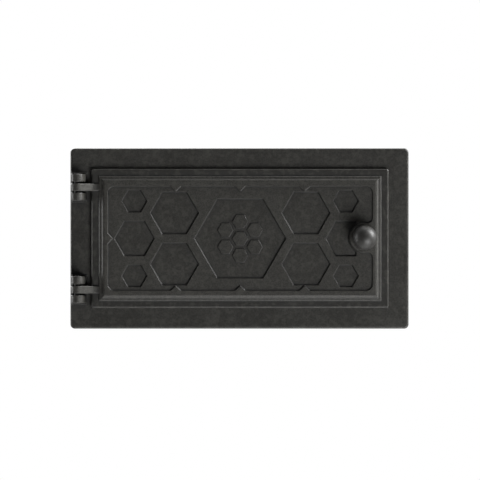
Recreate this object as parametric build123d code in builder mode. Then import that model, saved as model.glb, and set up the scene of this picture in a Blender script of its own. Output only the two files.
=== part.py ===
from build123d import *
import math
import os

# Cast iron stove door: a wall frame with a collar for the brickwork, a relief leaf on two pinned
# hinges, and a ball knob that turns a latch cam behind the frame's lip.
# X runs to the right, Z up and Y into the wall. The wall plane is Y = 0.
# Heights are measured from the wall plane toward the room.

os.makedirs("parts", exist_ok=True)

# Frame
opening_width = 246.0
opening_height = 106.0
opening_corner = 3.0
opening_chamfer = 0.8
flange_thickness = 6.0
flange_band = 18.4
flange_corner = 4.0
flange_round = 1.8
lip_depth = 8.5
collar_wall = 4.5
collar_depth = 28.0
collar_corner = 5.0
collar_draft = 1.5
collar_root = 2.0
tie_slot_length = 12.0
tie_slot_width = 5.0
tie_slot_from_side = 32.0
tie_slot_from_back = 9.0

# Leaf
leaf_gap = 0.3
leaf_lap_side = 8.6
leaf_lap_top = 8.6
leaf_shift = 0.5
leaf_thickness = 4.0
leaf_corner = 1.6
leaf_round = 1.5
rim_clearance = 2.5
rim_wall = 3.5
rim_depth = 5.3
rim_draft = 3.0

# Moulding around the leaf's panel
moulding_inset_side = 6.5
moulding_inset_top = 6.2
step_rise = 1.3
step_bevel = 0.6
ledge_width = 2.6
ledge_rise = 0.3
shoulder_width = 2.9
border_rise = 3.0
border_side = 7.5
border_top = 8.9
border_lap = 1.0

# Recessed field and honeycomb
field_depth = 1.4
field_corner = 6.3
cell_depth = 1.5
cell_from_end = 6.0
cell_from_top = 2.0
wall_draft = 30.0
web = 7.2
centre_cell_flats = 71.0
inner_cell_flats = 38.0
side_cell_flats = 31.6
corner_cell_flats = 20.2
peak_height = 4.2
peak_half_base = 4.6
peak_spacing = 57.1
rosette_flats = 12.6
rosette_gap = 2.4
rosette_rise = 0.8
rosette_draft = 30.0

# Hinges
hinge_from_edge = 16.3
hinge_reach = 12.7
hinge_rise = 9.5
barrel_radius = 5.7
ear_inset = 0.5
ear_width = 7.0
ear_gap = 1.55
ear_foot = 14.5
ear_chamfer = 0.5
ear_root = 1.2
pad_rise = 1.0
pad_overhang = 0.8
pad_margin = 2.35
pad_draft = 30.0
arm_width = 6.6
arm_foot_run = 6.7
arm_foot_dip = 3.1
arm_fairing = 9.0
arm_underside = 1.2
arm_chamfer = 0.5
pin_diameter = 5.0
pin_press_clearance = 0.02
pin_running_clearance = 0.08
pin_stand = 0.4
pin_chamfer = 0.6

# Latch
latch_from_field = 7.5
latch_rise = 0.6
boss_radius = 12.9
boss_blend = 5.0
boss_land = 7.0
back_boss_radius = 8.8
spindle_diameter = 8.0
spindle_clearance = 0.08
knob_gap = 0.3
knob_radius = 10.8
knob_centre_rise = 10.3
knob_flat_count = 20
neck_radius = 7.0
neck_slope = 1.2
neck_chamfer = 0.5
knob_bore_depth = 11.3
knob_fit = 0.02
spindle_in_knob = 11.0
square_flats = 6.2
square_clearance = 0.05
stud_diameter = 6.0
stud_end = 3.0
stud_chamfer = 0.8
washer_play = 0.05
spring_outer = 14.0
spring_split = 1.2
spring_clearance = 0.2
shaft_chamfer = 0.5
cam_gap = 1.4
cam_thickness = 4.0
cam_hub_radius = 8.0
cam_reach = 17.0
cam_tip_width = 9.0
cam_tip_round = 2.0
cam_lead = 1.2
washer_outer = 12.5
washer_thickness = 1.2
washer_clearance = 0.2
nut_flats = 10.0
nut_height = 5.0
nut_chamfer = 0.6
nut_clearance = 0.03

# Places that follow from the sizes
leaf_width = opening_width + 2 * leaf_lap_side
leaf_height = opening_height + 2 * leaf_lap_top
leaf_back = flange_thickness + leaf_gap
leaf_face = leaf_back + leaf_thickness
border_face = leaf_face + border_rise
field_face = border_face - field_depth
cell_face = field_face - cell_depth
moulding_width = leaf_width - 2 * moulding_inset_side
moulding_height = leaf_height - 2 * moulding_inset_top
shoulder_end = ledge_width + shoulder_width
field_width = moulding_width - 2 * border_side
field_height = moulding_height - 2 * border_top
rim_end = leaf_back - rim_depth

leaf_left = leaf_shift - leaf_width / 2
axis_x = leaf_left - hinge_reach
axis_h = flange_thickness + hinge_rise
frame_width = 2 * (barrel_radius + ear_inset - axis_x)
frame_height = leaf_height + 2 * flange_band
collar_inner_width = opening_width + 2 * lip_depth
collar_inner_height = opening_height + 2 * lip_depth
ear_offset = arm_width / 2 + ear_gap
hinge_spacing = leaf_height - 2 * hinge_from_edge
hinge_half = ear_offset + ear_width
hinge_heights = (-hinge_spacing / 2, hinge_spacing / 2)

latch_x = leaf_shift + field_width / 2 - latch_from_field
cam_front = -cam_gap
cam_back = cam_front - cam_thickness
washer_back = cam_back - washer_thickness
nut_back = washer_back - nut_height
stud_back = nut_back - stud_end
knob_base = border_face + knob_gap
knob_centre = knob_base + knob_centre_rise

centre_apothem = centre_cell_flats / 2
inner_apothem = inner_cell_flats / 2
side_apothem = side_cell_flats / 2
corner_apothem = corner_cell_flats / 2
slant = math.cos(math.radians(30))
inner_z = inner_apothem + web / 2
inner_x = (centre_apothem + web + inner_apothem - inner_z / 2) / slant
side_x = inner_x + (side_apothem + web + inner_apothem - inner_z / 2) / slant
corner_z = side_apothem + web + corner_apothem


def facing(height):
    """Upright plane at a height from the wall, looking toward the room."""
    return Plane.XZ.offset(height)


def cell(flats):
    """Hexagon with its points to the left and right."""
    RegularPolygon(radius=flats / 2, side_count=6, major_radius=False)


latch_axis = Axis((latch_x, 0, latch_rise), (0, 1, 0))
latch_section = Plane(origin=(latch_x, 0, latch_rise), x_dir=(1, 0, 0), z_dir=(0, 0, 1))
foot_left = axis_x - barrel_radius
foot_right = foot_left + ear_foot

# One hinge ear: a barrel carried down to the flange
with BuildPart() as ear:
    with BuildSketch(Plane.XY):
        with BuildLine():
            CenterArc((axis_x, -axis_h), barrel_radius, 0, 360)
            Line((foot_left, ear_root - flange_thickness), (foot_right, ear_root - flange_thickness))
        make_hull()
    extrude(amount=ear_width)
    chamfer(ear.edges().filter_by(Plane.XY), length=ear_chamfer)

# Frame casting
with BuildPart() as frame:
    with BuildSketch(facing(0)):
        RectangleRounded(frame_width, frame_height, flange_corner)
    extrude(amount=flange_thickness)
    fillet(frame.faces().sort_by(Axis.Y)[0].edges(), radius=flange_round)
    # Collar behind the flange, set back from the opening so that a lip stands inside it
    with BuildSketch(facing(0)):
        RectangleRounded(
            collar_inner_width + 2 * collar_wall,
            collar_inner_height + 2 * collar_wall,
            collar_corner + collar_wall,
        )
        RectangleRounded(collar_inner_width, collar_inner_height, collar_corner, mode=Mode.SUBTRACT)
    extrude(amount=-collar_depth, taper=collar_draft)
    flange_back = frame.faces().filter_by(Plane.XZ).filter_by_position(Axis.Y, -0.001, 0.001)
    root_edges = flange_back.edges() - flange_back.sort_by(SortBy.AREA)[-1].outer_wire().edges()
    chamfer(root_edges, length=collar_root)
    # Opening through the flange
    with BuildSketch(facing(0)):
        RectangleRounded(opening_width, opening_height, opening_corner)
    extrude(amount=flange_thickness, mode=Mode.SUBTRACT)
    mouth = frame.faces().sort_by(Axis.Y)[0].inner_wires()[0].edges()
    chamfer(mouth, length=opening_chamfer)
    # Slots in the collar for the wires that hold the frame in the brickwork
    slot_x = collar_inner_width / 2 - tie_slot_from_side
    slot_y = collar_depth - tie_slot_from_back
    with BuildSketch(Plane.XY):
        with Locations((-slot_x, slot_y), (slot_x, slot_y)):
            Rectangle(tie_slot_length, tie_slot_width)
    extrude(amount=collar_inner_height / 2 + 2 * collar_wall, both=True, mode=Mode.SUBTRACT)
    # Hinge pads, ears and their pin bores
    with BuildSketch(facing(flange_thickness - ear_root)):
        for hinge_z in hinge_heights:
            with Locations(((foot_left + foot_right + pad_overhang) / 2, hinge_z)):
                Rectangle(ear_foot + pad_overhang, 2 * (hinge_half + pad_margin))
    extrude(amount=ear_root + pad_rise, taper=pad_draft)
    for hinge_z in hinge_heights:
        with Locations((0, 0, hinge_z + ear_offset), (0, 0, hinge_z - ear_offset - ear_width)):
            add(ear.part)
        with BuildSketch(Plane.XY.offset(hinge_z - hinge_half)):
            with Locations((axis_x, -axis_h)):
                Circle(pin_diameter / 2 + pin_press_clearance)
        extrude(amount=2 * hinge_half, mode=Mode.SUBTRACT)

frame.part.label = "frame"
export_step(frame.part, "parts/frame.step")

# One leaf arm: a knuckle whose back slopes down, dips and runs up into the moulding
arm_end = leaf_left + moulding_inset_side + shoulder_end
arm_foot_x = arm_end - arm_foot_run
arm_foot_h = border_face - arm_foot_dip
foot_to_axis = math.hypot(arm_foot_x - axis_x, axis_h - arm_foot_h)
slope = math.atan2(axis_h - arm_foot_h, arm_foot_x - axis_x) + math.asin(barrel_radius / foot_to_axis)
shoulder_x = axis_x + barrel_radius * math.sin(slope)
shoulder_h = axis_h + barrel_radius * math.cos(slope)
with BuildPart() as arm:
    with BuildSketch(Plane.XY):
        with BuildLine():
            Polyline(
                (axis_x, -axis_h),
                (shoulder_x, -shoulder_h),
                (arm_foot_x, -arm_foot_h),
                (arm_end, -border_face),
                (arm_end, -leaf_back - arm_underside),
                (leaf_left, -leaf_back - arm_underside),
                (axis_x, barrel_radius - axis_h),
                close=True,
            )
        make_face()
        fillet(
            vertices().filter_by_position(Axis.X, arm_foot_x - 0.01, arm_foot_x + 0.01),
            radius=arm_fairing,
        )
        with Locations((axis_x, -axis_h)):
            Circle(barrel_radius)
    extrude(amount=arm_width / 2, both=True)
    chamfer(arm.edges().filter_by(Plane.XY), length=arm_chamfer)

# Door leaf casting
with BuildPart() as door_leaf:
    with BuildSketch(facing(leaf_back)):
        with Locations((leaf_shift, 0)):
            RectangleRounded(leaf_width, leaf_height, leaf_corner)
    extrude(amount=leaf_thickness)
    fillet(door_leaf.faces().sort_by(Axis.Y)[0].edges(), radius=leaf_round)
    # Moulding, mitred at the corners
    with BuildLine(facing(leaf_face)) as moulding_path:
        Polyline(
            (leaf_shift - moulding_width / 2, -moulding_height / 2),
            (leaf_shift + moulding_width / 2, -moulding_height / 2),
            (leaf_shift + moulding_width / 2, moulding_height / 2),
            (leaf_shift - moulding_width / 2, moulding_height / 2),
            close=True,
        )
    moulding_section = Plane(
        origin=(leaf_shift, -leaf_face, -moulding_height / 2), x_dir=(0, 0, 1), z_dir=(1, 0, 0)
    )
    with BuildSketch(moulding_section):
        with BuildLine():
            Polyline(
                (shoulder_end, border_rise),
                (shoulder_end + border_lap, border_rise),
                (shoulder_end + border_lap, -border_lap),
                (0, -border_lap),
                (0, step_rise - step_bevel),
                (step_bevel, step_rise),
                (ledge_width, step_rise + ledge_rise),
            )
            TangentArc(
                (shoulder_end, border_rise), (ledge_width, step_rise + ledge_rise), tangent=(-1, 0)
            )
        make_face()
    sweep(path=moulding_path.wires()[0], transition=Transition.RIGHT)
    # Border inside the moulding
    with BuildSketch(facing(leaf_back)):
        with Locations((leaf_shift, 0)):
            Rectangle(
                moulding_width - 2 * shoulder_end - border_lap,
                moulding_height - 2 * shoulder_end - border_lap,
            )
    extrude(amount=border_face - leaf_back)
    # Recessed field, left full at the knob boss and at the peaks of the border
    with BuildSketch(facing(border_face)):
        with Locations((leaf_shift, 0)):
            RectangleRounded(field_width, field_height, field_corner)
        with Locations((latch_x, latch_rise)):
            Circle(boss_radius, mode=Mode.SUBTRACT)
        fillet(
            vertices().filter_by_position(
                Axis.Y, latch_rise - boss_radius, latch_rise + boss_radius
            ),
            radius=boss_blend,
        )
        for side in (-1, 1):
            for step in (-1, 0, 1):
                tip_x = leaf_shift + step * peak_spacing
                edge_z = side * field_height / 2
                with BuildLine():
                    Polyline(
                        (tip_x - peak_half_base, edge_z),
                        (tip_x, edge_z - side * peak_height),
                        (tip_x + peak_half_base, edge_z),
                        close=True,
                    )
                make_face(mode=Mode.SUBTRACT)
        edge_x = leaf_shift - field_width / 2
        with BuildLine():
            Polyline(
                (edge_x, -peak_half_base),
                (edge_x + peak_height, 0),
                (edge_x, peak_half_base),
                close=True,
            )
        make_face(mode=Mode.SUBTRACT)
    extrude(amount=-field_depth, taper=wall_draft, mode=Mode.SUBTRACT)
    # Honeycomb of sunk cells with one even web between them
    boss_at_field = boss_radius + field_depth * math.tan(math.radians(wall_draft))
    with BuildSketch(facing(field_face)):
        with Locations((leaf_shift, 0)):
            cell(centre_cell_flats)
        with Locations(*[(leaf_shift + i * inner_x, k * inner_z) for i in (-1, 1) for k in (-1, 1)]):
            cell(inner_cell_flats)
        with Locations((leaf_shift - side_x, 0), (leaf_shift + side_x, 0)):
            cell(side_cell_flats)
        with Locations(*[(leaf_shift + i * side_x, k * corner_z) for i in (-1, 1) for k in (-1, 1)]):
            cell(corner_cell_flats)
        with Locations((leaf_shift, 0)):
            Rectangle(field_width - 2 * cell_from_end, field_height - 2 * cell_from_top, mode=Mode.INTERSECT)
        with Locations((latch_x - boss_land, 0)):
            Rectangle(field_width, side_cell_flats + web, align=(Align.MIN, Align.CENTER), mode=Mode.SUBTRACT)
        with Locations((latch_x, latch_rise)):
            Circle(boss_at_field, mode=Mode.SUBTRACT)
    extrude(amount=-cell_depth, taper=wall_draft, mode=Mode.SUBTRACT)
    # Raised rosette in the centre cell
    with BuildSketch(facing(cell_face)):
        with Locations((leaf_shift, 0)):
            cell(rosette_flats)
            with PolarLocations(rosette_flats + rosette_gap, 6, start_angle=30, rotate=False):
                cell(rosette_flats)
    extrude(amount=rosette_rise, taper=rosette_draft)
    # Rim that enters the opening, and the spindle boss beside it
    rim_width = opening_width - 2 * rim_clearance
    rim_height = opening_height - 2 * rim_clearance
    with BuildSketch(facing(leaf_back)):
        RectangleRounded(rim_width, rim_height, opening_corner)
        Rectangle(rim_width - 2 * rim_wall, rim_height - 2 * rim_wall, mode=Mode.SUBTRACT)
    extrude(amount=-rim_depth, taper=rim_draft)
    with BuildSketch(facing(leaf_back)):
        with Locations((latch_x, latch_rise)):
            Circle(back_boss_radius)
    extrude(amount=-rim_depth)
    with BuildSketch(facing(rim_end)):
        with Locations((latch_x, latch_rise)):
            Circle(spindle_diameter / 2 + spindle_clearance)
    extrude(amount=border_face - rim_end, mode=Mode.SUBTRACT)
    # Hinge arms and their running bores
    with Locations(*[(0, 0, hinge_z) for hinge_z in hinge_heights]):
        add(arm.part)
    with BuildSketch(Plane.XY.offset(-hinge_spacing / 2 - arm_width / 2)):
        with Locations((axis_x, -axis_h)):
            Circle(pin_diameter / 2 + pin_running_clearance)
    extrude(amount=hinge_spacing + arm_width, mode=Mode.SUBTRACT)

door_leaf.part.label = "door_leaf"
export_step(door_leaf.part, "parts/door_leaf.step")

# Hinge pins, driven through the ears
with BuildPart() as upper_hinge_pin:
    with BuildSketch(Plane.XY.offset(hinge_spacing / 2 - hinge_half - pin_stand)):
        with Locations((axis_x, -axis_h)):
            Circle(pin_diameter / 2)
    extrude(amount=2 * (hinge_half + pin_stand))
    chamfer(upper_hinge_pin.edges().filter_by(GeomType.CIRCLE), length=pin_chamfer)

with BuildPart() as lower_hinge_pin:
    mirror(upper_hinge_pin.part, about=Plane.XY)

upper_hinge_pin.part.label = "upper_hinge_pin"
export_step(upper_hinge_pin.part, "parts/upper_hinge_pin.step")
lower_hinge_pin.part.label = "lower_hinge_pin"
export_step(lower_hinge_pin.part, "parts/lower_hinge_pin.step")

# Ball knob with a short neck, bored for the spindle; the ball is turned in narrow flats
with BuildPart() as latch_knob:
    with BuildSketch(latch_section):
        with Locations((0, -knob_centre)):
            RegularPolygon(knob_radius, knob_flat_count)
        with Locations((0, -knob_base)):
            Rectangle(2 * neck_radius, knob_centre - knob_base, align=(Align.CENTER, Align.MAX))
            Rectangle(
                2 * knob_radius, knob_radius, align=(Align.CENTER, Align.MIN), mode=Mode.SUBTRACT
            )
        neck_corners = vertices().filter_by_position(Axis.X, neck_radius - 0.1, neck_radius + 0.1)
        chamfer(neck_corners.filter_by_position(Axis.Y, -knob_centre, -knob_base - 0.1), length=neck_slope)
        chamfer(vertices().group_by(Axis.Y)[-1], length=neck_chamfer)
        with Locations((0, -knob_centre)):
            Rectangle(
                2 * knob_radius, 4 * knob_radius, align=(Align.MAX, Align.CENTER), mode=Mode.SUBTRACT
            )
    revolve(axis=latch_axis)
    with BuildSketch(facing(knob_base)):
        with Locations((latch_x, latch_rise)):
            Circle(spindle_diameter / 2 + knob_fit)
    extrude(amount=knob_bore_depth, mode=Mode.SUBTRACT)

latch_knob.part.label = "latch_knob"
export_step(latch_knob.part, "parts/latch_knob.step")

# Spindle: round through the leaf, square in the cam, then a stud for the nut
with BuildPart() as latch_spindle:
    with BuildSketch(facing(knob_base + spindle_in_knob)):
        with Locations((latch_x, latch_rise)):
            Circle(spindle_diameter / 2)
    extrude(amount=cam_front - knob_base - spindle_in_knob)
    chamfer(latch_spindle.faces().sort_by(Axis.Y)[0].edges(), length=shaft_chamfer)
    with BuildSketch(facing(cam_front)):
        with Locations((latch_x, latch_rise)):
            Rectangle(square_flats, square_flats)
            Circle(spindle_diameter / 2, mode=Mode.INTERSECT)
    extrude(amount=square_clearance - cam_thickness)
    with BuildSketch(facing(cam_front)):
        with Locations((latch_x, latch_rise)):
            Circle(stud_diameter / 2)
    extrude(amount=stud_back - cam_front)
    chamfer(latch_spindle.faces().sort_by(Axis.Y)[-1].edges(), length=stud_chamfer)

latch_spindle.part.label = "latch_spindle"
export_step(latch_spindle.part, "parts/latch_spindle.step")

# Split spring washer between the leaf's boss and the cam
with BuildPart() as spring_washer:
    with BuildSketch(facing(rim_end - washer_play)):
        with Locations((latch_x, latch_rise)):
            Circle(spring_outer / 2)
            Circle(spindle_diameter / 2 + spring_clearance, mode=Mode.SUBTRACT)
            Rectangle(
                spring_split, spring_outer, align=(Align.CENTER, Align.MIN), mode=Mode.SUBTRACT
            )
    extrude(amount=cam_front - rim_end + 2 * washer_play)

spring_washer.part.label = "spring_washer"
export_step(spring_washer.part, "parts/spring_washer.step")

# Latch cam, hanging down when the door is free
with BuildPart() as latch_cam:
    with BuildSketch(facing(cam_front)):
        tip_x = cam_tip_width / 2 - cam_tip_round
        tip_z = latch_rise - cam_reach + cam_tip_round
        with BuildLine():
            CenterArc((latch_x, latch_rise), cam_hub_radius, 0, 360)
            CenterArc((latch_x - tip_x, tip_z), cam_tip_round, 0, 360)
            CenterArc((latch_x + tip_x, tip_z), cam_tip_round, 0, 360)
        make_hull()
    extrude(amount=-cam_thickness)
    chamfer(latch_cam.faces().sort_by(Axis.Y)[0].edges(), length=cam_lead)
    with BuildSketch(facing(cam_front)):
        with Locations((latch_x, latch_rise)):
            Rectangle(square_flats + 2 * square_clearance, square_flats + 2 * square_clearance)
    extrude(amount=-cam_thickness, mode=Mode.SUBTRACT)

latch_cam.part.label = "latch_cam"
export_step(latch_cam.part, "parts/latch_cam.step")

# Washer and nut that hold the cam
with BuildPart() as cam_washer:
    with BuildSketch(facing(cam_back)):
        with Locations((latch_x, latch_rise)):
            Circle(washer_outer / 2)
            Circle(stud_diameter / 2 + washer_clearance, mode=Mode.SUBTRACT)
    extrude(amount=-washer_thickness)

cam_washer.part.label = "cam_washer"
export_step(cam_washer.part, "parts/cam_washer.step")

nut_edge = nut_flats / 2 * (1 / slant - 1)
with BuildPart() as cam_nut:
    with BuildSketch(facing(washer_back)):
        with Locations((latch_x, latch_rise)):
            cell(nut_flats)
            Circle(stud_diameter / 2 + nut_clearance, mode=Mode.SUBTRACT)
    extrude(amount=-nut_height)
    with BuildSketch(latch_section):
        with Locations((nut_flats / 2, -nut_back)):
            Polygon((0, 0), (nut_edge, 0), (nut_edge, -nut_chamfer), align=None)
    revolve(axis=latch_axis, mode=Mode.SUBTRACT)

cam_nut.part.label = "cam_nut"
export_step(cam_nut.part, "parts/cam_nut.step")
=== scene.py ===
import math

import bmesh
import bpy
from bpy.props import FloatProperty, FloatVectorProperty, IntProperty, PointerProperty
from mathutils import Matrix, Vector


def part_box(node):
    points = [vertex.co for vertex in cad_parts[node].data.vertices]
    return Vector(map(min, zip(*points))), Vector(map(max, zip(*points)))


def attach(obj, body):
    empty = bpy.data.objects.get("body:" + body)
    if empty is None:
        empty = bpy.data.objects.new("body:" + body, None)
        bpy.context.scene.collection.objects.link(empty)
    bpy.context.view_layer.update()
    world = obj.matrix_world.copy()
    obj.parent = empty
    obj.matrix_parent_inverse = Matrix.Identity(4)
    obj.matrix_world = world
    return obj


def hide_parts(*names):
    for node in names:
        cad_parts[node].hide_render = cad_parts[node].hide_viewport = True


bl_info = {
    "name": "Cast Iron Stove Door",
    "version": (1, 0, 0),
    "blender": (4, 5, 0),
    "location": "View3D > Sidebar > Stove Door",
    "description": "Finishes the castings and the latch of a stove door and sets them in a studio",
    "category": "Object",
}

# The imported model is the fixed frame: its nodes keep their place and their mesh
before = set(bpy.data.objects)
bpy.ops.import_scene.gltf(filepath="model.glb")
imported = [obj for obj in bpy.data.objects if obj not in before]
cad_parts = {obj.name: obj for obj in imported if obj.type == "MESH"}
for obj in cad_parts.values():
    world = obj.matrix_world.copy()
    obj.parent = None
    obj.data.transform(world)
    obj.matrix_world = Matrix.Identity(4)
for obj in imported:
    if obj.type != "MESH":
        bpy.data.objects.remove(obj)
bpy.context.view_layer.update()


# Sizes and colours


class CastingSettings(bpy.types.PropertyGroup):
    """Skin and arrises of the iron castings."""

    arris: FloatProperty(
        name="Arris Radius",
        description="Rounding of the castings' edges",
        default=0.0004,
        min=0.0,
        unit="LENGTH",
    )
    grain: FloatProperty(
        name="Sand Grain",
        description="Size of the grain that the mould's sand leaves",
        default=0.0011,
        min=0.0001,
        unit="LENGTH",
    )
    grain_height: FloatProperty(
        name="Grain Height",
        description="Depth of the sand grain",
        default=0.00007,
        min=0.0,
        unit="LENGTH",
    )
    pit_spacing: FloatProperty(
        name="Pit Spacing",
        description="Distance between the places where the skin may have a pit",
        default=0.0026,
        min=0.0001,
        unit="LENGTH",
    )
    cloud: FloatProperty(
        name="Clouds",
        description="Size of the clouds in the blacking",
        default=0.018,
        min=0.001,
        unit="LENGTH",
    )
    drift: FloatProperty(
        name="Drift",
        description="Size of the broad changes in the blacking",
        default=0.075,
        min=0.001,
        unit="LENGTH",
    )
    # The rubbed arrises are partly real wear and partly a painted highlight
    wear_reach: FloatProperty(
        name="Wear Reach",
        description="How far from an arris the blacking is rubbed",
        default=0.0012,
        min=0.0001,
        unit="LENGTH",
    )
    # Reach of the painted shade out of corners and recesses
    corner_shade_reach: FloatProperty(
        name="Recess Reach",
        description="How far out of a corner the blacking is thick",
        default=0.009,
        min=0.0001,
        unit="LENGTH",
    )
    # Reach of the painted shade out of narrow grooves
    groove_shade_reach: FloatProperty(
        name="Groove Reach",
        description="How far out of a narrow groove the blacking is thick",
        default=0.0016,
        min=0.0001,
        unit="LENGTH",
    )
    # Low Face and High Face bound where faces get lighter with their height over the wall
    low_face: FloatProperty(
        name="Low Face",
        description="Height over the wall up to which the blacking is never touched",
        default=0.0100,
        unit="LENGTH",
    )
    high_face: FloatProperty(
        name="High Face",
        description="Height over the wall from which the blacking is rubbed by hands",
        default=0.0134,
        unit="LENGTH",
    )
    # The moulding's size and place, its fade and the two faces below bound the painted shade on
    # the low faces just outside the moulding
    moulding_width: FloatProperty(
        name="Moulding Width",
        description="Width of the leaf's moulding, measured a little inside its foot",
        default=0.2498,
        min=0.0,
        unit="LENGTH",
    )
    moulding_height: FloatProperty(
        name="Moulding Height",
        description="Height of the leaf's moulding, measured a little inside its foot",
        default=0.1106,
        min=0.0,
        unit="LENGTH",
    )
    moulding_shift: FloatProperty(
        name="Moulding Shift",
        description="How far the moulding's middle lies to the right of the opening's",
        default=0.0005,
        unit="LENGTH",
    )
    moulding_fade: FloatProperty(
        name="Moulding Fade",
        description="Width over which the blacking darkens outside the moulding",
        default=0.0006,
        min=0.0001,
        unit="LENGTH",
    )
    dark_face: FloatProperty(
        name="Dark Face",
        description="Height over the wall up to which it is dark outside the moulding",
        default=0.0115,
        unit="LENGTH",
    )
    light_face: FloatProperty(
        name="Light Face",
        description="Height over the wall from which it is as light there as on the moulding",
        default=0.0130,
        unit="LENGTH",
    )
    blacking: FloatVectorProperty(
        name="Blacking",
        description="Colour of the leaf's stove blacking",
        default=(0.0320, 0.0310, 0.0274),
        min=0.0,
        max=1.0,
        subtype="COLOR",
    )
    frame_shade: FloatProperty(
        name="Frame Shade",
        description="Colour of the frame's blacking as a share of the leaf's",
        default=0.90,
        min=0.0,
        max=1.0,
        subtype="FACTOR",
    )
    # Rubbed Iron lightens the arrises: partly real wear, partly a painted highlight
    rubbed: FloatVectorProperty(
        name="Rubbed Iron",
        description="Colour of the iron where the blacking is thin",
        default=(0.066, 0.064, 0.059),
        min=0.0,
        max=1.0,
        subtype="COLOR",
    )
    # Painted shade: the dark colour that corners, grooves and pits are mixed towards, where shade
    # falls
    painted_shade: FloatVectorProperty(
        name="Soot",
        description="Colour in the corners, where the blacking is thick",
        default=(0.010, 0.0098, 0.0094),
        min=0.0,
        max=1.0,
        subtype="COLOR",
    )
    bare: FloatVectorProperty(
        name="Bare Iron",
        description="Colour of the unblacked latch cam",
        default=(0.075, 0.070, 0.064),
        min=0.0,
        max=1.0,
        subtype="COLOR",
    )


class KnobSettings(bpy.types.PropertyGroup):
    """The ball knob."""

    neck_radius: FloatProperty(
        name="Neck Radius",
        description="Radius of the neck under the ball",
        default=0.0070,
        min=0.001,
        unit="LENGTH",
    )
    neck_fillet: FloatProperty(
        name="Neck Fillet",
        description="Radius of the hollow between the neck and the ball",
        default=0.0012,
        min=0.0001,
        unit="LENGTH",
    )
    foot_round: FloatProperty(
        name="Foot Round",
        description="Rounding at the foot of the neck",
        default=0.0005,
        min=0.0001,
        unit="LENGTH",
    )
    bore_radius: FloatProperty(
        name="Bore Radius",
        description="Radius of the bore for the spindle",
        default=0.00402,
        min=0.001,
        unit="LENGTH",
    )
    bore_depth: FloatProperty(
        name="Bore Depth",
        description="Depth of the bore for the spindle",
        default=0.0113,
        min=0.001,
        unit="LENGTH",
    )
    steps: IntProperty(
        name="Steps",
        description="Steps round the ball",
        default=128,
        min=16,
    )
    grain: FloatProperty(
        name="Grain",
        description="Size of the fine grain in the ball's blacking",
        default=0.0006,
        min=0.0001,
        unit="LENGTH",
    )
    cloud: FloatProperty(
        name="Clouds",
        description="Size of the clouds in the ball's blacking",
        default=0.006,
        min=0.001,
        unit="LENGTH",
    )
    file_marks: FloatProperty(
        name="File Marks",
        description="Length of the file's marks round the ball",
        default=0.0022,
        min=0.0001,
        unit="LENGTH",
    )
    mark_depth: FloatProperty(
        name="Mark Depth",
        description="Depth of the file's marks",
        default=0.00002,
        min=0.0,
        unit="LENGTH",
    )
    blacking: FloatVectorProperty(
        name="Blacking",
        description="Colour of the smoothed and blacked ball",
        default=(0.0200, 0.0193, 0.0178),
        min=0.0,
        max=1.0,
        subtype="COLOR",
    )


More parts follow.
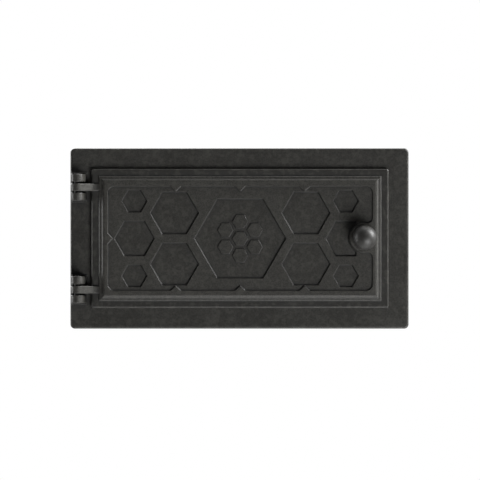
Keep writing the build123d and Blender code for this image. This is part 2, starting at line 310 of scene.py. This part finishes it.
class HardwareSettings(bpy.types.PropertyGroup):
    """Spindle, nut, washers and pins."""

    shank_chamfer: FloatProperty(
        name="Shank Chamfer",
        description="Chamfer at the end of the spindle's shank",
        default=0.0005,
        min=0.0001,
        unit="LENGTH",
    )
    square: FloatProperty(
        name="Square",
        description="Width across the flats of the spindle's square",
        default=0.0062,
        min=0.001,
        unit="LENGTH",
    )
    stud_diameter: FloatProperty(
        name="Stud Diameter",
        description="Outer diameter of the stud's thread",
        default=0.0060,
        min=0.001,
        unit="LENGTH",
    )
    pitch: FloatProperty(
        name="Pitch",
        description="Pitch of the stud's thread",
        default=0.0010,
        min=0.0002,
        unit="LENGTH",
    )
    thread_depth: FloatProperty(
        name="Thread Depth",
        description="Depth of the stud's thread",
        default=0.00061,
        min=0.0001,
        unit="LENGTH",
    )
    nut_flats: FloatProperty(
        name="Nut Flats",
        description="Width across the flats of the nut",
        default=0.0100,
        min=0.002,
        unit="LENGTH",
    )
    nut_chamfer: FloatProperty(
        name="Nut Chamfer",
        description="Height of the chamfer at the nut's corners",
        default=0.0005,
        min=0.0001,
        unit="LENGTH",
    )
    nut_play: FloatProperty(
        name="Nut Play",
        description="Room between the stud and the nut's bore",
        default=0.00003,
        min=0.0,
        unit="LENGTH",
    )
    nut_mouth: FloatProperty(
        name="Nut Mouth",
        description="Chamfer at the mouths of the nut's bore",
        default=0.0003,
        min=0.0001,
        unit="LENGTH",
    )
    washer_play: FloatProperty(
        name="Washer Play",
        description="Room between the stud and the washer's bore",
        default=0.0002,
        min=0.0,
        unit="LENGTH",
    )
    washer_round: FloatProperty(
        name="Washer Round",
        description="Rounding of the washer's rolled edges",
        default=0.0003,
        min=0.0001,
        unit="LENGTH",
    )
    spindle_steps: IntProperty(
        name="Spindle Steps",
        description="Steps round the spindle",
        default=64,
        min=16,
    )
    nut_steps: IntProperty(
        name="Nut Steps",
        description="Steps round the nut and the washer",
        default=96,
        min=12,
    )
    arris: FloatProperty(
        name="Arris Radius",
        description="Rounding of the steel pieces' edges",
        default=0.00015,
        min=0.0,
        unit="LENGTH",
    )
    grain: FloatProperty(
        name="Grain",
        description="Size of the fine grain in the steel",
        default=0.0004,
        min=0.0001,
        unit="LENGTH",
    )
    tool_marks: FloatProperty(
        name="Tool Marks",
        description="Size of the tool marks before they are drawn out",
        default=0.0006,
        min=0.0001,
        unit="LENGTH",
    )
    mark_depth: FloatProperty(
        name="Mark Depth",
        description="Depth of the tool marks",
        default=0.00001,
        min=0.0,
        unit="LENGTH",
    )
    cloud: FloatProperty(
        name="Clouds",
        description="Size of the clouds in the steel's colour",
        default=0.004,
        min=0.001,
        unit="LENGTH",
    )
    stain_reach: FloatProperty(
        name="Stain Reach",
        description="How far out of a corner the steel is stained",
        default=0.0015,
        min=0.0001,
        unit="LENGTH",
    )
    stain: FloatVectorProperty(
        name="Stain",
        description="Colour of the stains in the steel's corners",
        default=(0.05, 0.04, 0.03),
        min=0.0,
        max=1.0,
        subtype="COLOR",
    )
    turned: FloatVectorProperty(
        name="Turned Steel",
        description="Colour of the turned spindle",
        default=(0.42, 0.41, 0.39),
        min=0.0,
        max=1.0,
        subtype="COLOR",
    )
    drawn: FloatVectorProperty(
        name="Drawn Steel",
        description="Colour of the blackened pins",
        default=(0.009, 0.0088, 0.0085),
        min=0.0,
        max=1.0,
        subtype="COLOR",
    )
    spring: FloatVectorProperty(
        name="Spring Steel",
        description="Colour of the spring washer",
        default=(0.20, 0.20, 0.21),
        min=0.0,
        max=1.0,
        subtype="COLOR",
    )
    zinc: FloatVectorProperty(
        name="Zinc",
        description="Colour of the plated nut and washer",
        default=(0.55, 0.55, 0.53),
        min=0.0,
        max=1.0,
        subtype="COLOR",
    )


class StageSettings(bpy.types.PropertyGroup):
    """Camera, lamps, floor and background."""

    camera_distance: FloatProperty(
        name="Camera Distance",
        description="Distance of the camera from the wall plane",
        default=4.0,
        min=0.5,
        unit="LENGTH",
    )
    picture_width: FloatProperty(
        name="Picture Width",
        description="What the picture takes in at the flange's face",
        default=0.42566,
        min=0.1,
        unit="LENGTH",
    )
    picture_offset: FloatVectorProperty(
        name="Picture Offset",
        description="Place of the picture's middle on the door, across and up",
        default=(0.00044, -0.00133),
        size=2,
        unit="LENGTH",
    )
    floor_drop: FloatProperty(
        name="Floor Drop",
        description="Height of the door's middle over the floor",
        default=2.8,
        min=0.1,
        unit="LENGTH",
    )
    floor_radius: FloatProperty(
        name="Floor Radius",
        description="Radius of the round floor",
        default=7.0,
        min=0.5,
        unit="LENGTH",
    )
    floor_colour: FloatVectorProperty(
        name="Floor Colour",
        description="Colour of the pale floor",
        default=(0.86, 0.86, 0.85),
        min=0.0,
        max=1.0,
        subtype="COLOR",
    )
    ambient: FloatProperty(
        name="Ambient",
        description="Strength of the even light from all round",
        default=0.06,
        min=0.0,
    )


class DoorSettings(bpy.types.PropertyGroup):
    """All settings of the door's finish and its stage."""

    casting: PointerProperty(type=CastingSettings)
    knob: PointerProperty(type=KnobSettings)
    hardware: PointerProperty(type=HardwareSettings)
    stage: PointerProperty(type=StageSettings)


# Each lamp's name, direction from the door, distance, width, height and strength, which is
# about the share of full white that it gives a white card turned to it at the door
LAMPS = (
    ("front_lamp", (0.44, -0.65, -0.57), 3.6, 1.9, 1.9, 1.09),
    ("side_lamp", (0.84, -0.035, 0.54), 3.0, 0.57, 2.2, 2.35),
    ("left_lamp", (-1.00, 0.03, -0.02), 1.5, 0.16, 1.2, 0.48),
    ("top_lamp", (0.10, 0.16, 0.98), 1.2, 1.0, 0.24, 0.18),
    ("low_lamp", (0.05, 0.16, -0.98), 1.2, 1.0, 0.3, 0.16),
    ("rear_lamp", (-0.30, 0.85, 0.45), 2.0, 1.2, 1.2, 0.75),
)

# Factors along each axis that draw tool marks out: round the spindle and the knob, along the
# pins, or not at all
MARKS_ROUND_SPINDLE = (1.0, 8.0, 1.0)
MARKS_ROUND_KNOB = (1.0, 5.0, 1.0)
MARKS_ALONG_PIN = (4.0, 4.0, 0.4)
MARKS_EVEN = (1.0, 1.0, 1.0)

WHITE = (1.0, 1.0, 1.0, 1.0)


# Shader trees


class Wire:
    """The output of a shader node; operators on it add Math nodes."""

    def __init__(self, tree, socket):
        self.tree = tree
        self.socket = socket

    def _maths(self, operation, first, second):
        return self.tree.add(
            "ShaderNodeMath", {"operation": operation}, {0: first, 1: second}
        )

    def __add__(self, other):
        return self._maths("ADD", self, other)

    def __radd__(self, other):
        return self._maths("ADD", other, self)

    def __sub__(self, other):
        return self._maths("SUBTRACT", self, other)

    def __rsub__(self, other):
        return self._maths("SUBTRACT", other, self)

    def __mul__(self, other):
        return self._maths("MULTIPLY", self, other)

    def __rmul__(self, other):
        return self._maths("MULTIPLY", other, self)


class Tree:
    """A shader tree that is written as expressions."""

    def __init__(self, node_tree):
        self.node_tree = node_tree
        self.node_tree.nodes.clear()

    def add(self, kind, settings=None, sockets=None, output=0):
        """Adds a node, with its settings first and then its sockets' values or links."""
        node = self.node_tree.nodes.new(kind)
        for name, value in (settings or {}).items():
            setattr(node, name, value)
        for key, value in (sockets or {}).items():
            if isinstance(value, Wire):
                self.node_tree.links.new(value.socket, node.inputs[key])
            else:
                node.inputs[key].default_value = value
        return Wire(self, node.outputs[output]) if node.outputs else None

    def place(self):
        """The place on the piece, in metres."""
        return self.add("ShaderNodeTexCoord", output="Object")

    def coordinate(self, place, axis):
        """One of the three numbers of a place."""
        return self.add("ShaderNodeSeparateXYZ", None, {0: place}, axis)

    def vector(self, operation, first, second=(0.0, 0.0, 0.0), output=0):
        """Vector maths on one or two places."""
        sockets = {0: first, 1: second}
        return self.add("ShaderNodeVectorMath", {"operation": operation}, sockets, output)

    def noise(self, place, size, detail, roughness=0.5):
        """Even noise whose features are about one size across."""
        sockets = {"Vector": place, "Scale": 1 / size, "Detail": detail, "Roughness": roughness}
        return self.add("ShaderNodeTexNoise", None, sockets)

    def step(self, value, low, high):
        """Rises smoothly from 0 at low to 1 at high; low may be the larger."""
        sockets = {"Value": value, "From Min": low, "From Max": high}
        return self.add("ShaderNodeMapRange", {"interpolation_type": "SMOOTHSTEP"}, sockets)

    def mix(self, factor, first, second):
        """A colour between two colours."""
        # The Mix node's sockets 6 and 7 and its output 2 are the ones for colours
        sockets = {"Factor": factor, 6: as_colour(first), 7: as_colour(second)}
        return self.add("ShaderNodeMix", {"data_type": "RGBA"}, sockets, output=2)

    def outside(self, place, middle, half_sizes):
        """How far a place lies outside an upright rectangle, less than 0 inside it."""
        off = self.vector("ABSOLUTE", self.vector("SUBTRACT", place, middle))
        off = self.vector("SUBTRACT", off, half_sizes)
        sockets = {0: self.coordinate(off, "X"), 1: self.coordinate(off, "Z")}
        return self.add("ShaderNodeMath", {"operation": "MAXIMUM"}, sockets)

    def closeness(self, reach, inside=False):
        """How near other faces are, 0 where none is: outside at corners, inside at arrises."""
        settings = {"samples": 8, "inside": inside, "only_local": True}
        sockets = {"Distance": reach}
        return 1 - self.add("ShaderNodeAmbientOcclusion", settings, sockets, output="AO")

    def rounded(self, radius):
        """The normal of a surface whose arrises are rounded."""
        return self.add("ShaderNodeBevel", {"samples": 8}, {"Radius": radius})

    def bump(self, height, distance, normal=None):
        """A normal tilted by a height map."""
        sockets = {"Height": height, "Distance": distance}
        if normal is not None:
            sockets["Normal"] = normal
        return self.add("ShaderNodeBump", None, sockets)


def as_colour(value):
    """A colour with its fourth number, or a link as it is."""
    if isinstance(value, Wire):
        return value
    return (*value, 1.0)


def scaled(colour, factor):
    """A colour made darker or lighter."""
    return tuple(channel * factor for channel in colour)


def surface(name, build):
    """A material whose shader is made by a function of its tree."""
    material = bpy.data.materials.new(name)
    material.use_nodes = True
    tree = Tree(material.node_tree)
    tree.add("ShaderNodeOutputMaterial", None, {"Surface": build(tree)})
    return material


def cast_iron(name, skin, rubbed, settings, moulding=None):
    """Sand cast iron: fine grain, mottled blacking, arrises lighter by wear and painted highlight,
    painted shade in corners.

    Moulding is the middle and the half sizes of a moulding round the face. The low edge outside it
    is darkened there as painted shade of the moulding.
    """

    def build(tree):
        place = tree.place()
        height = 0 - tree.coordinate(place, "Y")
        grain = tree.noise(place, settings.grain, 3.0, 0.6)
        lumps = tree.noise(place, 3.5 * settings.grain, 2.0)
        cloud = tree.noise(place, settings.cloud, 3.0, 0.55)
        drift = tree.noise(place, settings.drift, 1.0)
        # Ragged pits at the middles of the cells, where the skin is lumpy
        sockets = {"Vector": place, "Scale": 1 / settings.pit_spacing}
        cells = tree.add("ShaderNodeTexVoronoi", {"feature": "F1"}, sockets)
        pits = tree.step(cells + 0.5 * (grain - 0.5), 0.22, 0.04) * tree.step(lumps, 0.52, 0.68)
        # Arrises are lighter, partly worn and partly a painted highlight; high faces are lighter;
        # corners and grooves get painted shade
        arris = tree.closeness(settings.wear_reach, inside=True)
        recess = tree.closeness(settings.corner_shade_reach)
        groove = tree.closeness(settings.groove_shade_reach)
        wear_and_highlight = tree.step(arris + 0.35 * (grain - 0.5), 0.22, 0.62)
        height_lightening = tree.step(height, settings.low_face, settings.high_face)
        shaded = 2.4 * recess * (0.85 + 0.3 * cloud) + 1.3 * groove
        # Clouds and drifts, and lighter on the faces that stand high over the wall
        tone = tree.mix(tree.step(cloud, 0.3, 0.7), scaled(skin, 0.90), scaled(skin, 1.10))
        tone = tree.mix(0.5 * tree.step(drift, 0.35, 0.65), tone, scaled(skin, 1.12))
        tone = tree.mix(0.7 * height_lightening, tone, scaled(skin, 1.45))
        # Painted shade: the low faces just outside the moulding are darkened, as in the moulding's
        # shadow
        if moulding:
            edge = tree.step(tree.outside(place, *moulding), 0.0, settings.moulding_fade)
            low = tree.step(height, settings.light_face, settings.dark_face)
            tone = tree.mix(edge * low, tone, scaled(skin, 0.54))
        # Dark between the grains and light on the lumps
        tone = tree.mix(tree.step(grain, 0.36, 0.62), scaled(skin, 0.55), tone)
        tone = tree.mix(0.5 * tree.step(lumps, 0.48, 0.66), tone, scaled(skin, 1.6))
        # Painted shade in corners and grooves, where shade falls
        tone = tree.mix(shaded, tone, settings.painted_shade)
        # Lighter arrises: partly rubbed iron, partly a painted highlight
        tone = tree.mix(0.10 * wear_and_highlight, tone, rubbed)
        # Painted shade in the pits
        tone = tree.mix(0.7 * pits, tone, settings.painted_shade)
        shine = 0.42 + 0.16 * (cloud - 0.5) + 0.12 * (grain - 0.5) - 0.10 * wear_and_highlight + 0.10 * shaded
        relief = grain * 0.55 + lumps * 0.45 - pits * 0.6
        normal = tree.bump(relief, settings.grain_height, tree.rounded(settings.arris))
        return tree.add(
            "ShaderNodeBsdfPrincipled",
            None,
            {"Base Color": tone, "Roughness": shine, "Normal": normal, "Specular IOR Level": 0.5},
        )

    return surface(name, build)


def smoothed_iron(name, settings):
    """Filed and blacked iron of the ball: faint file marks, soft sheen."""
    skin = settings.blacking

    def build(tree):
        place = tree.place()
        drawn_out = tree.vector("MULTIPLY", place, MARKS_ROUND_KNOB)
        grain = tree.noise(place, settings.grain, 3.0, 0.6)
        cloud = tree.noise(place, settings.cloud, 3.0, 0.55)
        marks = tree.noise(drawn_out, settings.file_marks, 2.0, 0.6)
        tone = tree.mix(tree.step(cloud, 0.3, 0.7), scaled(skin, 0.88), scaled(skin, 1.12))
        tone = tree.mix(0.5 * tree.step(marks, 0.55, 0.75), tone, scaled(skin, 1.8))
        shine = 0.47 + 0.10 * (cloud - 0.5) + 0.06 * (grain - 0.5)
        relief = grain * 0.5 + marks * 0.5
        return tree.add(
            "ShaderNodeBsdfPrincipled",
            None,
            {
                "Base Color": tone,
                "Roughness": shine,
                "Specular IOR Level": 0.46,
                "Normal": tree.bump(relief, settings.mark_depth),
            },
        )

    return surface(name, build)


def worked_steel(name, colour, tool_marks, settings, roughness, metallic=1.0):
    """Steel with tool marks: turned, drawn or plated, with a little staining in its hollows."""

    def build(tree):
        place = tree.place()
        drawn_out = tree.vector("MULTIPLY", place, tool_marks)
        cloud = tree.noise(place, settings.cloud, 3.0, 0.6)
        grain = tree.noise(place, settings.grain, 2.0, 0.6)
        marks = tree.noise(drawn_out, settings.tool_marks, 2.0, 0.6)
        corner = tree.closeness(settings.stain_reach)
        stained = tree.step(corner + 0.5 * (cloud - 0.5), 0.35, 0.85)
        tone = tree.mix(tree.step(cloud, 0.3, 0.7), scaled(colour, 0.85), scaled(colour, 1.10))
        tone = tree.mix(0.5 * stained, tone, settings.stain)
        shine = roughness + 0.14 * (cloud - 0.5) + 0.12 * (marks - 0.5) + 0.15 * stained
        relief = grain * 0.4 + marks * 0.6
        return tree.add(
            "ShaderNodeBsdfPrincipled",
            None,
            {
                "Base Color": tone,
                "Metallic": metallic - 0.5 * stained,
                "Roughness": shine,
                "Normal": tree.bump(relief, settings.mark_depth, tree.rounded(settings.arris)),
            },
        )

    return surface(name, build)


# Meshes


def dress(node, material):
    """Gives a node of the frame its material."""
    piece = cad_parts[node]
    if piece.material_slots:
        for slot in piece.material_slots:
            slot.material = material
    else:
        piece.data.materials.append(material)


def arc(centre, radius, start, end, steps):
    """Points of an arc in the plane of radius and height, from angle to angle in degrees."""
    points = []
    for step in range(steps + 1):
        angle = math.radians(start + (end - start) * step / steps)
        points.append((centre[0] + radius * math.cos(angle), centre[1] + radius * math.sin(angle)))
    return points


def stack(name, rows, steps, middle, body, material, smooth_angle=35):
    """A closed piece from rings round an axis that points to the room.

    A row is a height over the wall plane and a radius, or a function from angle to radius.
    Edges are smooth where their faces meet at less than smooth_angle, in degrees.
    """
    mesh = bmesh.new()
    rings = []
    for height, radius in rows:
        if radius == 0:
            rings.append([mesh.verts.new((middle.x, -height, middle.z))])
            continue
        ring = []
        for step in range(steps):
            angle = 2 * math.pi * step / steps
            reach = radius(angle) if callable(radius) else radius
            across = reach * math.cos(angle)
            up = reach * math.sin(angle)
            ring.append(mesh.verts.new((middle.x + across, -height, middle.z + up)))
        rings.append(ring)
    closed = len(rings[0]) > 1 and len(rings[-1]) > 1
    pairs = list(zip(rings, rings[1:])) + ([(rings[-1], rings[0])] if closed else [])
    for low, high in pairs:
        for step in range(steps):
            after = (step + 1) % steps
            if len(low) == 1:
                mesh.faces.new((low[0], high[after], high[step]))
            elif len(high) == 1:
                mesh.faces.new((low[step], low[after], high[0]))
            else:
                mesh.faces.new((low[step], low[after], high[after], high[step]))
    # Two rings may share points, as where the square leaves the round shank
    same_point = 0.0000001
    bmesh.ops.remove_doubles(mesh, verts=mesh.verts, dist=same_point)
    bmesh.ops.recalc_face_normals(mesh, faces=mesh.faces)
    for face in mesh.faces:
        face.smooth = True
    limit = math.radians(smooth_angle)
    for edge in mesh.edges:
        edge.smooth = len(edge.link_faces) == 2 and edge.calc_face_angle(0) < limit
    data = bpy.data.meshes.new(name)
    mesh.to_mesh(data)
    mesh.free()
    piece = bpy.data.objects.new(name, data)
    data.materials.append(material)
    bpy.context.scene.collection.objects.link(piece)
    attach(piece, body)
    return piece


def middle_of(node):
    """The middle of a node's box."""
    low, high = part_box(node)
    return (low + high) / 2


def polygon_reach(apothem, sides, turn=0.0):
    """The reach from the middle to the edge of a regular polygon, as a function of angle."""
    share = 2 * math.pi / sides

    def reach(angle):
        off = (angle - turn + share / 2) % share - share / 2
        return apothem / math.cos(off)

    return reach


# Operators, one for each piece or group


class STOVEDOOR_OT_castings(bpy.types.Operator):
    """Give the frame and the leaf their cast and blacked skin"""

    bl_idname = "stovedoor.castings"
    bl_label = "Castings"

    def execute(self, context):
        settings = context.scene.stove_door.casting
        blacking = settings.blacking
        frame_blacking = scaled(blacking, settings.frame_shade)
        dress("frame", cast_iron("frame_skin", frame_blacking, settings.rubbed, settings))
        middle = (settings.moulding_shift, 0.0, 0.0)
        half_sizes = (settings.moulding_width / 2, 0.0, settings.moulding_height / 2)
        moulding = (middle, half_sizes)
        dress("door_leaf", cast_iron("leaf_skin", blacking, settings.rubbed, settings, moulding))
        return {"FINISHED"}


class STOVEDOOR_OT_ball_knob(bpy.types.Operator):
    """Turn the ball knob with its neck and bore"""

    bl_idname = "stovedoor.ball_knob"
    bl_label = "Ball Knob"

    def execute(self, context):
        settings = context.scene.stove_door.knob
        low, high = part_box("latch_knob")
        ball = (high.x - low.x) / 2
        base, top = -high.y, -low.y
        centre = top - ball
        neck = settings.neck_radius
        hollow = settings.neck_fillet
        foot = settings.foot_round
        bore = settings.bore_radius
        bore_end = base + settings.bore_depth
        foot_steps = 4
        hollow_steps = 8
        ball_steps = settings.steps // 3
        # The hollow touches the neck's side and the ball
        drop = math.sqrt((ball + hollow) ** 2 - (neck + hollow) ** 2)
        slope = math.degrees(math.atan2(drop, neck + hollow))
        profile = [(0, bore_end), (bore, bore_end), (bore, base)]
        profile += arc((neck - foot, base + foot), foot, -90, 0, foot_steps)
        profile += arc((neck + hollow, centre - drop), hollow, 180, 180 - slope, hollow_steps)
        profile += arc((0, centre), ball, -slope, 90, ball_steps)[1:-1]
        rows = [(height, radius) for radius, height in profile] + [(top, 0)]
        middle = middle_of("latch_knob")
        material = smoothed_iron("smoothed_ball", settings)
        knob = stack("ball_knob", rows, settings.steps, middle, "latch", material)
        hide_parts("latch_knob")
        return {"FINISHED"}


class STOVEDOOR_OT_spindle(bpy.types.Operator):
    """Make the spindle: round shank, square for the cam and threaded stud"""

    bl_idname = "stovedoor.spindle"
    bl_label = "Spindle"

    def execute(self, context):
        settings = context.scene.stove_door.hardware
        low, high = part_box("latch_spindle")
        shank = (high.x - low.x) / 2
        top, end = -low.y, -high.y
        cam_low, cam_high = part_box("latch_cam")
        square_start, square_end = -cam_low.y, -cam_high.y
        flats = polygon_reach(settings.square / 2, 4)
        chamfer = settings.shank_chamfer

        def square(angle):
            return min(shank, flats(angle))

        rows = [(top, 0), (top, shank - chamfer), (top - chamfer, shank)]
        rows += [(square_start, shank), (square_start, square), (square_end, square)]
        rows_a_turn = 12
        turns = (square_end - end) / settings.pitch
        row_count = int(turns * rows_a_turn)
        for row in range(row_count + 1):
            height = square_end - (square_end - end) * row / row_count
            rows.append((height, self.thread(settings, height, end)))
        rows.append((end, 0))
        steps = settings.spindle_steps
        middle = middle_of("latch_spindle")
        colour = settings.turned
        material = worked_steel("turned_steel", colour, MARKS_ROUND_SPINDLE, settings, 0.34)
        spindle = stack(
            "threaded_spindle", rows, steps, middle, "latch", material
        )
        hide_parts("latch_spindle")
        return {"FINISHED"}

    @staticmethod
    def thread(settings, height, end):
        """The thread's reach at a height, as a function of angle, pointed at the stud's end."""
        major = settings.stud_diameter / 2
        # The point starts a little below the thread's root
        lead = major - settings.thread_depth * 1.1 + (height - end)

        def reach(angle):
            # Crest, flank, root and flank take a quarter of the pitch each
            phase = (height / settings.pitch + angle / (2 * math.pi)) % 1
            cut = min(1.0, max(0.0, 1.5 - abs(4 * phase - 2)))
            return min(lead, major - settings.thread_depth * cut)

        return reach


class STOVEDOOR_OT_latch_cam(bpy.types.Operator):
    """Give the latch cam its bare cast skin"""

    bl_idname = "stovedoor.latch_cam"
    bl_label = "Latch Cam"

    def execute(self, context):
        settings = context.scene.stove_door.casting
        # The cam's lighter arrises: partly rubbed iron, partly a painted highlight
        rubbed = scaled(settings.bare, 1.8)
        dress("latch_cam", cast_iron("cam_skin", settings.bare, rubbed, settings))
        return {"FINISHED"}


class STOVEDOOR_OT_fasteners(bpy.types.Operator):
    """Make the nut and its washer, and finish the spring washer and the hinge pins"""

    bl_idname = "stovedoor.fasteners"
    bl_label = "Fasteners"

    def execute(self, context):
        settings = context.scene.stove_door.hardware
        plated = worked_steel("plated_steel", settings.zinc, MARKS_EVEN, settings, 0.36)
        self.nut(settings, plated)
        self.washer(settings, plated)
        blued = worked_steel("blued_steel", settings.spring, MARKS_EVEN, settings, 0.34)
        dress("spring_washer", blued)
        drawn = worked_steel("drawn_steel", settings.drawn, MARKS_ALONG_PIN, settings, 0.65, 0.1)
        for node in ("upper_hinge_pin", "lower_hinge_pin"):
            dress(node, drawn)
        return {"FINISHED"}

    @staticmethod
    def nut(settings, material):
        """A plated nut, chamfered at both ends."""
        low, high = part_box("cam_nut")
        front, back = -low.y, -high.y
        bore = settings.stud_diameter / 2 + settings.nut_play
        mouth = settings.nut_mouth
        half_corner = math.radians(30)
        flats = polygon_reach(settings.nut_flats / 2, 6, half_corner)
        corner = settings.nut_flats / 2 / math.cos(half_corner)
        chamfer = settings.nut_chamfer
        chamfer_width = 1.6 * chamfer
        chamfer_steps = 6

        def side(share):
            limit = corner - chamfer_width * share
            return lambda angle: min(flats(angle), limit)

        rows = [(front, bore + mouth)]
        for step in range(chamfer_steps + 1):
            share = step / chamfer_steps
            rows.append((front - chamfer * share, side(1 - share)))
        for step in range(chamfer_steps + 1):
            share = step / chamfer_steps
            rows.append((back + chamfer * (1 - share), side(share)))
        rows += [(back, bore + mouth), (back + mouth, bore), (front - mouth, bore)]
        steps = settings.nut_steps
        middle = middle_of("cam_nut")
        nut = stack("hex_nut", rows, steps, middle, "latch", material, 25)
        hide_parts("cam_nut")

    @staticmethod
    def washer(settings, material):
        """A plated washer, with a sharp edge in front and rolled edges behind."""
        low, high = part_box("cam_washer")
        front, back = -low.y, -high.y
        outer = (high.x - low.x) / 2
        bore = settings.stud_diameter / 2 + settings.washer_play
        edge = settings.washer_round
        bevel = 0.4 * edge
        edge_steps = 5
        profile = [(bore, front), (outer - bevel, front), (outer, front - bevel)]
        profile += arc((outer - edge, back + edge), edge, 0, -90, edge_steps)
        profile += arc((bore + edge, back + edge), edge, -90, -180, edge_steps)
        rows = [(height, radius) for radius, height in profile]
        steps = settings.nut_steps
        middle = middle_of("cam_washer")
        washer = stack("flat_washer", rows, steps, middle, "latch", material)
        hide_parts("cam_washer")


class STOVEDOOR_OT_stage(bpy.types.Operator):
    """Set up the camera, the soft lamps, the pale floor and the white background"""

    bl_idname = "stovedoor.stage"
    bl_label = "Stage"

    def execute(self, context):
        settings = context.scene.stove_door.stage
        self.camera(context, settings)
        for lamp in LAMPS:
            self.lamp(context, *lamp)
        self.floor(context, settings)
        self.world(context, settings)
        context.scene.view_settings.view_transform = "Standard"
        return {"FINISHED"}

    @staticmethod
    def camera(context, settings):
        """A camera square to the door, framed by what it takes in at the flange's face."""
        data = bpy.data.cameras.new("camera")
        camera = bpy.data.objects.new("camera", data)
        context.scene.collection.objects.link(camera)
        across, up = settings.picture_offset
        flange_face = 0.006
        distance = settings.camera_distance - flange_face
        data.sensor_width = 36.0
        data.lens = data.sensor_width * distance / settings.picture_width
        data.clip_end = 100.0
        camera.location = (across, -settings.camera_distance, up)
        camera.rotation_euler = (math.radians(90), 0, 0)
        context.scene.camera = camera

    @staticmethod
    def lamp(context, name, direction, distance, width, height, strength):
        """An area lamp at a distance from the door, turned to its middle."""
        data = bpy.data.lights.new(name, "AREA")
        data.shape = "RECTANGLE"
        data.size = width
        data.size_y = height
        # A small lamp gives a card its power over the square of pi times the distance
        data.energy = strength * (math.pi * distance) ** 2
        lamp = bpy.data.objects.new(name, data)
        toward = Vector(direction).normalized()
        lamp.location = toward * distance
        lamp.rotation_euler = toward.to_track_quat("Z", "Y").to_euler()
        lamp.visible_camera = False
        context.scene.collection.objects.link(lamp)

    @staticmethod
    def floor(context, settings):
        """A round floor of pale paper that fades to white for the camera."""
        mesh = bmesh.new()
        bmesh.ops.create_circle(mesh, cap_ends=True, segments=96, radius=settings.floor_radius)
        data = bpy.data.meshes.new("floor")
        mesh.to_mesh(data)
        mesh.free()
        floor = bpy.data.objects.new("floor", data)
        floor.location.z = -settings.floor_drop
        context.scene.collection.objects.link(floor)

        def build(tree):
            place = tree.place()
            cloud = tree.noise(place, 0.4, 2.0)
            tone = tree.mix(cloud, scaled(settings.floor_colour, 0.97), settings.floor_colour)
            sockets = {"Base Color": tone, "Roughness": 0.9}
            paper = tree.add("ShaderNodeBsdfPrincipled", None, sockets)
            white = tree.add("ShaderNodeEmission", None, {"Color": WHITE, "Strength": 1.0})
            # The camera sees it mostly white near the middle and all white from 5 m out
            far = tree.step(tree.vector("LENGTH", place, output=1), 1.0, 5.0)
            seen = tree.add("ShaderNodeLightPath", output="Is Camera Ray")
            factor = seen * (0.7 + 0.3 * far)
            return tree.add("ShaderNodeMixShader", None, {"Fac": factor, 1: paper, 2: white})

        data.materials.append(surface("floor_paper", build))

    @staticmethod
    def world(context, settings):
        """A white background that the camera and reflections see, with little light of its own."""
        world = bpy.data.worlds.new("studio")
        world.use_nodes = True
        context.scene.world = world
        tree = Tree(world.node_tree)
        # Reflections see the white only behind the door, and the dark room in front of it
        toward = tree.add("ShaderNodeTexCoord", output="Generated")
        behind = tree.step(tree.coordinate(toward, "Y"), -0.30, 0.10)
        seen = tree.add("ShaderNodeLightPath", output="Is Camera Ray")
        glossy = tree.add("ShaderNodeLightPath", output="Is Glossy Ray")
        through = tree.add("ShaderNodeLightPath", output="Is Transmission Ray")
        ambient = settings.ambient
        strength = ambient + (1 - ambient) * (seen + (glossy + through) * behind)
        light = tree.add("ShaderNodeBackground", None, {"Color": WHITE, "Strength": strength})
        tree.add("ShaderNodeOutputWorld", None, {"Surface": light})


class STOVEDOOR_PT_panel(bpy.types.Panel):
    """The steps and settings of the stove door"""

    bl_idname = "STOVEDOOR_PT_panel"
    bl_label = "Stove Door"
    bl_space_type = "VIEW_3D"
    bl_region_type = "UI"
    bl_category = "Stove Door"

    def draw(self, context):
        for step in STEPS:
            self.layout.operator(step.bl_idname)
        settings = context.scene.stove_door
        for group in (settings.casting, settings.knob, settings.hardware, settings.stage):
            box = self.layout.box()
            for name in group.__annotations__:
                box.prop(group, name)


STEPS = (
    STOVEDOOR_OT_castings,
    STOVEDOOR_OT_ball_knob,
    STOVEDOOR_OT_spindle,
    STOVEDOOR_OT_latch_cam,
    STOVEDOOR_OT_fasteners,
    STOVEDOOR_OT_stage,
)

CLASSES = (
    CastingSettings,
    KnobSettings,
    HardwareSettings,
    StageSettings,
    DoorSettings,
    *STEPS,
    STOVEDOOR_PT_panel,
)


def register():
    for item in CLASSES:
        bpy.utils.register_class(item)
    bpy.types.Scene.stove_door = PointerProperty(type=DoorSettings)


def unregister():
    del bpy.types.Scene.stove_door
    for item in reversed(CLASSES):
        bpy.utils.unregister_class(item)


def main():
    register()
    bpy.ops.stovedoor.castings()
    bpy.ops.stovedoor.ball_knob()
    bpy.ops.stovedoor.spindle()
    bpy.ops.stovedoor.latch_cam()
    bpy.ops.stovedoor.fasteners()
    bpy.ops.stovedoor.stage()


if __name__ == "__main__":
    main()
